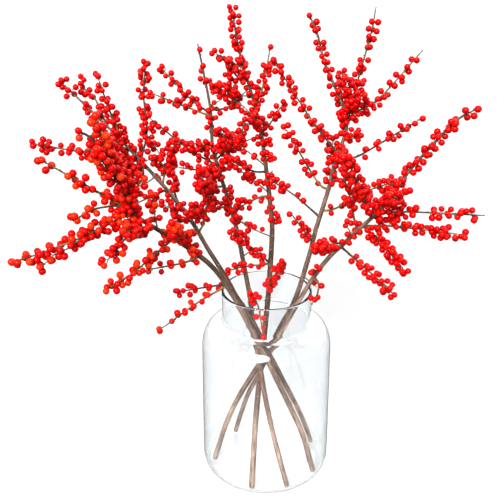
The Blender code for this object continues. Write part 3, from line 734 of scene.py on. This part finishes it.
# ---------------------------------------- middle left branch
# The branch left of the middle, leaning back: one woody stem with a tan foot, grey-brown above, and side
# twigs on both sides. It is cut at the foot and stands loose in the jar.
grow_branch(
    "middle_left", radii=(3.2, 0.9), ripeness_and_painted_light=0.05, seed=3,
    tones=[(0.0, 0.0), (0.12, 0.04), (0.18, 0.45), (0.28, 0.56), (0.5, 0.48), (1.0, 0.62)],
    stem=[(26, -65, 6), (11, -48, 62), (0, -34, 110), (-9, -17, 160), (-17, 5, 207), (-22, 15, 241),
          (-29, 32, 274), (-36, 44, 307), (-46, 60, 338), (-55, 68, 367), (-66, 82, 403), (-68, 94, 436),
          (-71, 100, 461), (-84, 122, 522)],
    stem_berries=[(0.6, 0.67, 0.9), (0.81, 0.85, 1.1), (0.92, 0.94, 1.2), (0.96, 0.98, 1.0)],
    twigs=[
        ([(-70, 95, 442), (-95, 107, 460), (-127, 122, 491)],
         [(0.08, 0.16, 0.7), (0.36, 0.56, 1.0), (0.66, 0.72, 0.7), (0.8, 1.0, 0.9)]),
        ([(-70, 94, 439), (-135, 78, 470)], [(0.26, 0.38, 0.6), (0.5, 0.68, 0.9), (0.84, 1.0, 0.9)]),
        ([(-61, 74, 384), (-94, 62, 407), (-136, 44, 448)],
         [(0.06, 0.34, 1.1), (0.36, 0.56, 1.0), (0.64, 0.84, 0.8), (0.92, 1.0, 0.8)]),
        ([(-74, 108, 484), (-65, 100, 476), (-44, 88, 470)], [(0.3, 1.0, 1.3)]),
        ([(-68, 98, 447), (-55, 110, 446), (-44, 122, 449), (-25, 140, 463)],
         [(0.22, 0.3, 0.6), (0.42, 0.7, 0.8)]),
        ([(-59, 76, 390), (-42, 108, 402), (-36, 122, 411)], [(0.3, 1.0, 1.35)]),
        ([(-61, 78, 396), (-50, 58, 422), (-56, 50, 430)], [(0.3, 1.0, 1.1)]),
        ([(-59, 71, 378), (-76, 62, 380), (-106, 46, 389)], [(0.42, 0.62, 0.5), (0.84, 1.0, 1.0)]),
        ([(-52, 62, 359), (-63, 32, 369), (-75, -44, 393)], [(0.4, 0.62, 0.9), (0.72, 1.0, 0.95)]),
        ([(-23, 16, 248), (-12, -8, 235), (-8, -18, 223), (-5, -20, 200)],
         [(0.24, 0.5, 1.0), (0.58, 0.98, 0.7)]),
        ([(-46, 59, 336), (-104, 70, 325)], [(0.05, 0.3, 0.8), (0.4, 0.55, 0.6), (0.7, 0.9, 1.0)]),
    ],
    spurs=[
        ([(-56, 68, 369), (-72, 36, 384)], [(0.2, 1.0, 1.4)]),
        ([(-69, 24, 363), (-65, 34, 344)], [(0.2, 1.0, 0.8)]),
        ([(-71, -10, 381), (-74, -34, 406)], [(0.4, 1.0, 1.15)]),
        ([(-44, 56, 331), (-29, 40, 349)], [(0.1, 1.0, 0.7)]),
        ([(-40, 50, 320), (-22, 40, 320)], [(0.3, 1.0, 0.6)]),
        ([(-66, 82, 403), (-74, 72, 406), (-85, 62, 413)], [(0.1, 1.0, 1.25)]),
        ([(-61, 75, 382), (-38, 90, 383)], [(0.1, 1.0, 1.1)]),
        ([(-82, 66, 331), (-77, 40, 322)], [(0.3, 1.0, 0.9)]),
        ([(-71, 98, 453), (-55, 88, 462)], [(0.3, 1.0, 0.7)]),
        ([(-51, 60, 361), (-46, 50, 359)], [(0.9, 1.0, 0.5)]),
        ([(-28, 33, 277), (-20, 26, 289)], []),
    ])

# ---------------------------------------- middle branch
# The middle branch, upright from the front and leaning back: the thickest stem, in the darkest bark, with
# fruit over its upper half. It is cut at the foot and stands loose in the jar.
grow_branch(
    "middle", radii=(3.6, 0.9), ripeness_and_painted_light=0.05, seed=4,
    tones=[(0.0, 0.05), (0.13, 0.15), (0.18, 0.55), (0.26, 0.64), (0.6, 0.66), (1.0, 0.6)],
    stem=[(-18, -67, 6), (-14, -44, 75), (-10, -20, 115), (-5, 4, 155), (1, 20, 212), (4, 27, 251),
          (7, 42, 308), (5, 53, 336), (0, 65, 378), (-10, 85, 438), (-30, 106, 504), (-36, 111, 529),
          (-41, 118, 560)],
    stem_berries=[(0.57, 0.61, 0.8), (0.73, 0.77, 1.1), (0.8, 0.87, 0.95), (0.87, 0.92, 1.05),
                  (0.93, 1.0, 1.05)],
    twigs=[
        ([(3, 25, 240), (7, 0, 263), (15, -28, 294)], [(0.08, 1.0, 0.85)]),
        ([(3, 33, 271), (-28, 12, 274), (-43, 4, 273)], [(0.24, 0.44, 0.8), (0.7, 1.0, 0.8)]),
        ([(4, 33, 271), (-38, -4, 324)], [(0.12, 0.24, 0.5), (0.36, 0.58, 0.85), (0.76, 1.0, 0.9)]),
        ([(-6, 80, 424), (2, 88, 429), (19, 102, 452)], [(0.06, 1.0, 0.95)]),
        ([(-15, 92, 454), (-8, 100, 464), (-4, 107, 477), (4, 119, 516)],
         [(0.05, 0.62, 1.15), (0.74, 1.0, 1.0)]),
        ([(0, 65, 378), (-17, 58, 381), (-44, 42, 399)], [(0.5, 1.0, 1.1)]),
        ([(4, 56, 348), (-11, 50, 349), (-37, 42, 338)], [(0.2, 0.48, 0.65), (0.68, 1.0, 1.0)]),
        ([(-7, 81, 425), (-10, 48, 443), (-16, 14, 457)], [(0.1, 1.0, 0.95)]),
        ([(-24, 100, 483), (-36, 92, 489), (-50, 78, 511), (-59, 72, 517)],
         [(0.1, 0.55, 1.0), (0.64, 1.0, 0.9)]),
    ],
    spurs=[
        ([(4, 41, 301), (-20, 32, 317), (-35, 28, 329)], [(0.3, 0.36, 0.5), (0.5, 1.0, 0.9)]),
        ([(-1, 67, 383), (-32, 54, 414)], [(0.1, 0.36, 1.0), (0.5, 1.0, 1.0)]),
        ([(3, 60, 352), (-25, 72, 372), (-40, 78, 379)], [(0.18, 0.45, 0.9), (0.55, 1.0, 1.0)]),
        ([(-7, 78, 416), (-18, 86, 414), (-40, 100, 400)], [(0.1, 0.18, 0.6), (0.6, 1.0, 1.3)]),
        ([(-11, 84, 434), (-29, 94, 453), (-39, 98, 458)],
         [(0.05, 0.2, 0.8), (0.4, 0.66, 0.8), (0.74, 1.0, 1.0)]),
        ([(-9, 82, 430), (-31, 68, 438)], [(0.25, 1.0, 1.0)]),
        ([(-18, 94, 464), (-29, 104, 463), (-39, 112, 453)], [(0.1, 0.2, 0.6), (0.7, 1.0, 1.0)]),
        ([(-28, 104, 497), (-41, 94, 505)], [(0.1, 1.0, 1.1)]),
        ([(-44, 88, 471), (-47, 92, 496)], [(0.2, 1.0, 0.8)]),
        ([(-30, 70, 429), (-31, 64, 422), (-35, 60, 418)], [(0.1, 1.0, 0.9)]),
        ([(2, 62, 368), (15, 54, 366)], [(0.1, 1.0, 1.0)]),
        ([(6, 50, 327), (13, 40, 324)], [(0.6, 1.0, 0.8)]),
        ([(-6, 77, 413), (-1, 70, 414)], [(0.5, 1.0, 1.0)]),
        ([(-3, 72, 396), (2, 66, 396)], [(0.4, 1.0, 1.1)]),
        ([(4, 64, 372), (7, 60, 380)], []),
    ])

# ---------------------------------------- right back branch
# The tallest branch, at the back right: one woody stem in grey-brown bark with side twigs, and fruit on
# its upper third. It is cut at the foot and stands loose in the jar.
grow_branch(
    "right_back", radii=(3.3, 0.9), ripeness_and_painted_light=0.05, seed=5,
    tones=[(0.0, 0.04), (0.12, 0.12), (0.17, 0.5), (0.26, 0.58), (0.4, 0.46), (0.5, 0.36), (1.0, 0.45)],
    stem=[(-67, -10, 6), (-50, -4, 61), (-32, 8, 96), (-14, 18, 122), (3, 25, 150), (23, 23, 195),
          (31, 20, 212), (41, 16, 245), (54, 24, 292), (60, 27, 319), (73, 33, 365), (81, 41, 399),
          (90, 47, 423), (93, 50, 440), (87, 54, 463), (68, 61, 503), (61, 63, 523), (56, 64, 541),
          (46, 66, 562)],
    stem_berries=[(0.66, 0.73, 1.15), (0.76, 0.8, 1.1), (0.8, 0.87, 1.1), (0.89, 0.93, 0.8),
                  (0.94, 0.96, 0.8), (0.98, 0.99, 0.7)],
    twigs=[
        ([(84, 43, 406), (52, 47, 445), (10, 60, 507)],
         [(0.05, 0.12, 1.0), (0.18, 0.35, 1.0), (0.45, 0.65, 0.9), (0.73, 1.0, 0.9)]),
        ([(73, 34, 365), (59, 34, 376), (22, 30, 437)],
         [(0.12, 0.24, 0.6), (0.34, 0.48, 0.8), (0.66, 0.88, 0.8), (0.93, 1.0, 0.9)]),
        ([(63, 28, 331), (33, 44, 355), (4, 60, 369)], [(0.14, 0.46, 0.6), (0.66, 1.0, 1.0)]),
        ([(56, 26, 302), (28, -4, 347)], [(0.2, 1.0, 0.9)]),
        ([(67, 30, 341), (82, 24, 345), (114, 8, 371), (146, -8, 389)],
         [(0.12, 0.3, 0.7), (0.32, 0.6, 1.2), (0.66, 0.7, 0.6), (0.78, 1.0, 1.1)]),
        ([(83, 41, 399), (100, 38, 403), (115, 34, 411), (171, 24, 451)],
         [(0.3, 0.44, 0.9), (0.5, 0.72, 1.0), (0.8, 1.0, 0.8)]),
        ([(93, 50, 440), (101, 52, 480), (116, 58, 541), (120, 60, 569)],
         [(0.05, 0.46, 1.35), (0.5, 0.72, 0.9), (0.76, 0.86, 0.9), (0.88, 0.91, 0.9)]),
        ([(93, 50, 442), (101, 46, 454), (128, 40, 473), (169, 30, 526)],
         [(0.1, 0.36, 1.3), (0.38, 0.54, 1.0), (0.66, 0.76, 1.0), (0.88, 0.93, 0.9)]),
        ([(92, 51, 447), (98, 36, 467), (104, 24, 477)], [(0.05, 1.0, 1.3)]),
        ([(88, 53, 460), (87, 66, 475), (90, 88, 498)], [(0.18, 0.44, 1.0), (0.72, 1.0, 0.9)]),
        ([(86, 43, 411), (86, -14, 410)], [(0.1, 0.6, 1.15), (0.7, 1.0, 1.1)]),
    ],
    spurs=[
        ([(90, 47, 423), (99, 40, 425), (103, 34, 432)], [(0.3, 1.0, 1.1)]),
        ([(80, 40, 396), (78, 50, 397), (77, 60, 407), (81, 66, 417)], [(0.3, 1.0, 1.0)]),
        ([(77, 38, 384), (74, 46, 383), (74, 52, 389)], [(0.3, 1.0, 0.7)]),
        ([(97, 48, 469), (93, 40, 484), (89, 34, 492)], [(0.2, 1.0, 1.2)]),
        ([(47, 18, 260), (60, 2, 252)], [(0.9, 1.0, 0.4)]),
        ([(54, 24, 288), (51, 26, 280)], []),
    ])

# ---------------------------------------- right front branch
# The branch that leans out to the right: one woody stem of pale young wood, its fruit in heavy bunches. It
# is cut at the foot and stands loose in the jar.
grow_branch(
    "right_front", radii=(3.1, 1.0), ripeness_and_painted_light=0.12, seed=6,
    tones=[(0.0, 0.0), (0.12, 0.05), (0.18, 0.36), (0.26, 0.44), (0.36, 0.14), (0.5, 0.14), (0.64, 0.24),
           (1.0, 0.5)],
    stem=[(-41, 49, 6), (-33, 32, 46), (-22, 18, 90), (-7, 10, 127), (6, 8, 160), (20, 7, 189),
          (47, -2, 250), (62, -8, 280), (75, -13, 301), (87, -18, 316), (101, -27, 336), (125, -47, 373),
          (135, -53, 393), (145, -57, 413), (156, -59, 429), (186, -64, 468), (203, -66, 480)],
    stem_berries=[(0.64, 0.68, 0.8), (0.74, 0.81, 1.25), (0.84, 0.88, 1.0), (0.89, 0.94, 1.0),
                  (0.95, 1.0, 0.95)],
    twigs=[
        ([(115, -39, 358), (135, -46, 365), (160, -54, 368), (226, -70, 370)],
         [(0.06, 0.32, 1.4), (0.36, 0.52, 1.0), (0.54, 0.74, 1.0), (0.82, 0.97, 1.0)]),
        ([(106, -31, 343), (143, -40, 346), (208, -53, 342)],
         [(0.12, 0.4, 1.0), (0.46, 0.66, 0.85), (0.74, 1.0, 1.0)]),
        ([(107, -32, 344), (124, -54, 332), (143, -80, 314)],
         [(0.14, 0.45, 1.15), (0.5, 0.78, 0.95), (0.8, 1.0, 1.1)]),
        ([(85, -17, 312), (126, -56, 286), (136, -68, 279)],
         [(0.18, 0.34, 0.8), (0.34, 0.6, 0.85), (0.64, 1.0, 1.15)]),
        ([(88, -19, 318), (67, -60, 333), (47, -104, 346)], [(0.1, 0.52, 1.0), (0.6, 1.0, 1.05)]),
        ([(114, -38, 357), (94, -64, 398), (77, -92, 436)], [(0.16, 0.4, 1.0), (0.44, 1.0, 1.1)]),
        ([(100, -26, 334), (95, -26, 356), (91, -30, 374), (80, -38, 404)],
         [(0.06, 0.34, 0.6), (0.46, 0.7, 1.1), (0.8, 1.0, 0.9)]),
        ([(126, -48, 374), (125, -84, 393), (121, -124, 408)], [(0.22, 0.6, 1.0), (0.74, 1.0, 0.9)]),
        ([(129, -50, 382), (139, -84, 399)], [(0.2, 1.0, 1.0)]),
        ([(57, -6, 270), (61, -16, 264), (59, -22, 253), (53, -24, 242)],
         [(0.3, 0.42, 0.5), (0.8, 1.0, 0.8)]),
    ],
    spurs=[
        ([(132, -52, 388), (130, -60, 397), (125, -66, 404)], [(0.2, 1.0, 1.0)]),
        ([(114, -38, 357), (117, -30, 364), (110, -20, 375)], [(0.1, 1.0, 1.1)]),
        ([(64, -8, 281), (58, -16, 282), (52, -22, 286)], [(0.3, 1.0, 0.7)]),
        ([(96, -24, 329), (90, -18, 338)], [(0.3, 1.0, 0.7)]),
        ([(98, -26, 334), (100, -36, 336), (101, -42, 340)], [(0.2, 0.8, 0.7)]),
        ([(139, -48, 365), (134, -56, 360), (135, -60, 359)], [(0.2, 1.0, 1.0)]),
    ])

# ---------------------------------------- stage
# A plain pale grey floor without end, which shows white under these lights. The light is one small soft
# lamp high at the front left, a near-white wall all round, dim below the horizon, and two bright soft
# patches on that wall, a strong one at the front left and a wide weak one at the back right.
FLOOR_HALF = 30.0
FLOOR_DROP = -0.0003
FLOOR_SHADES = (0.55, 0.56)
LAMP_SIZE, LAMP_WATTS = 0.6, 6.0
LAMP_PLACE = (-1.20, -1.50, 2.05)
LAMP_TILT, LAMP_TURN = 48, -38
WALL_LEVEL, BELOW_LEVEL = 0.96, 0.16
HORIZON = (-0.08, -0.02)
# A bright patch: the way to its middle, the angles in degrees at which it begins and is full, its level.
KEY_BOX = ((-0.24, -0.81, 0.54), 22.0, 10.0, 16.5)
BACK_BOX = ((0.42, 0.78, 0.46), 46.0, 20.0, 1.8)

floor_paint, tree, shader = new_material("matt_pale_grey_floor")
here = add(tree, "ShaderNodeTexCoord").outputs["Object"]
faint = add(tree, "ShaderNodeTexNoise", {"Vector": here, "Scale": 2.0}).outputs[0]
tree.links.new(spread(tree, faint, (0.0, 1.0), FLOOR_SHADES), shader.inputs["Base Color"])
shader.inputs["Roughness"].default_value = 0.9
shader.inputs["Specular IOR Level"].default_value = 0.1
corner_ways = ((-1, -1), (1, -1), (1, 1), (-1, 1))
floor_corners = [(x * FLOOR_HALF, y * FLOOR_HALF, FLOOR_DROP) for x, y in corner_ways]
floor = mesh_piece("floor", floor_corners, [(0, 1, 2, 3)], floor_paint, smooth=False)
# The floor neither lights the fruit from below nor is mirrored in the glass, so both keep their darks.
floor.visible_diffuse = False
floor.visible_glossy = False

lamp = bpy.data.lights.new("key_light", "AREA")
lamp.shape = "DISK"
lamp.size = LAMP_SIZE
lamp.energy = LAMP_WATTS
key_light = bpy.data.objects.new("key_light", lamp)
bpy.context.scene.collection.objects.link(key_light)
key_light.location = LAMP_PLACE
key_light.rotation_euler = (math.radians(LAMP_TILT), 0.0, math.radians(LAMP_TURN))

world = bpy.data.worlds.new("white_surround")
bpy.context.scene.world = world
world.use_nodes = True
tree = world.node_tree
way = add(tree, "ShaderNodeTexCoord").outputs["Generated"]
height = add(tree, "ShaderNodeSeparateXYZ", {0: way}).outputs["Z"]
glow = spread(tree, height, HORIZON, (BELOW_LEVEL, WALL_LEVEL))
for box_way, edge, middle, level in (KEY_BOX, BACK_BOX):
    facing = add(tree, "ShaderNodeVectorMath", {0: way, 1: box_way}, operation="DOT_PRODUCT")
    towards = facing.outputs["Value"]
    angles = (math.cos(math.radians(edge)), math.cos(math.radians(middle)))
    lit = spread(tree, towards, angles, (0.0, level), interpolation_type="SMOOTHSTEP")
    glow = maths(tree, "ADD", lit, glow)
tree.nodes["Background"].inputs["Color"].default_value = (1.0, 1.0, 1.0, 1.0)
tree.links.new(glow, tree.nodes["Background"].inputs["Strength"])

# The camera stands in front and above, looking down at the middle of the object. The gamma deepens the
# middle tones and leaves white as it is.
CAMERA_PLACE = (-0.0203, -0.764, 0.622)
CAMERA_DOWN = 22.78
camera_data = bpy.data.cameras.new("camera")
camera_data.sensor_width = 36.0
camera_data.lens = 50.4
camera_data.clip_end = 100.0
camera = bpy.data.objects.new("camera", camera_data)
bpy.context.scene.collection.objects.link(camera)
camera.location = CAMERA_PLACE
camera.rotation_euler = (math.radians(90 - CAMERA_DOWN), 0.0, 0.0)
bpy.context.scene.camera = camera
bpy.context.scene.view_settings.view_transform = "Standard"
bpy.context.scene.view_settings.gamma = 0.85
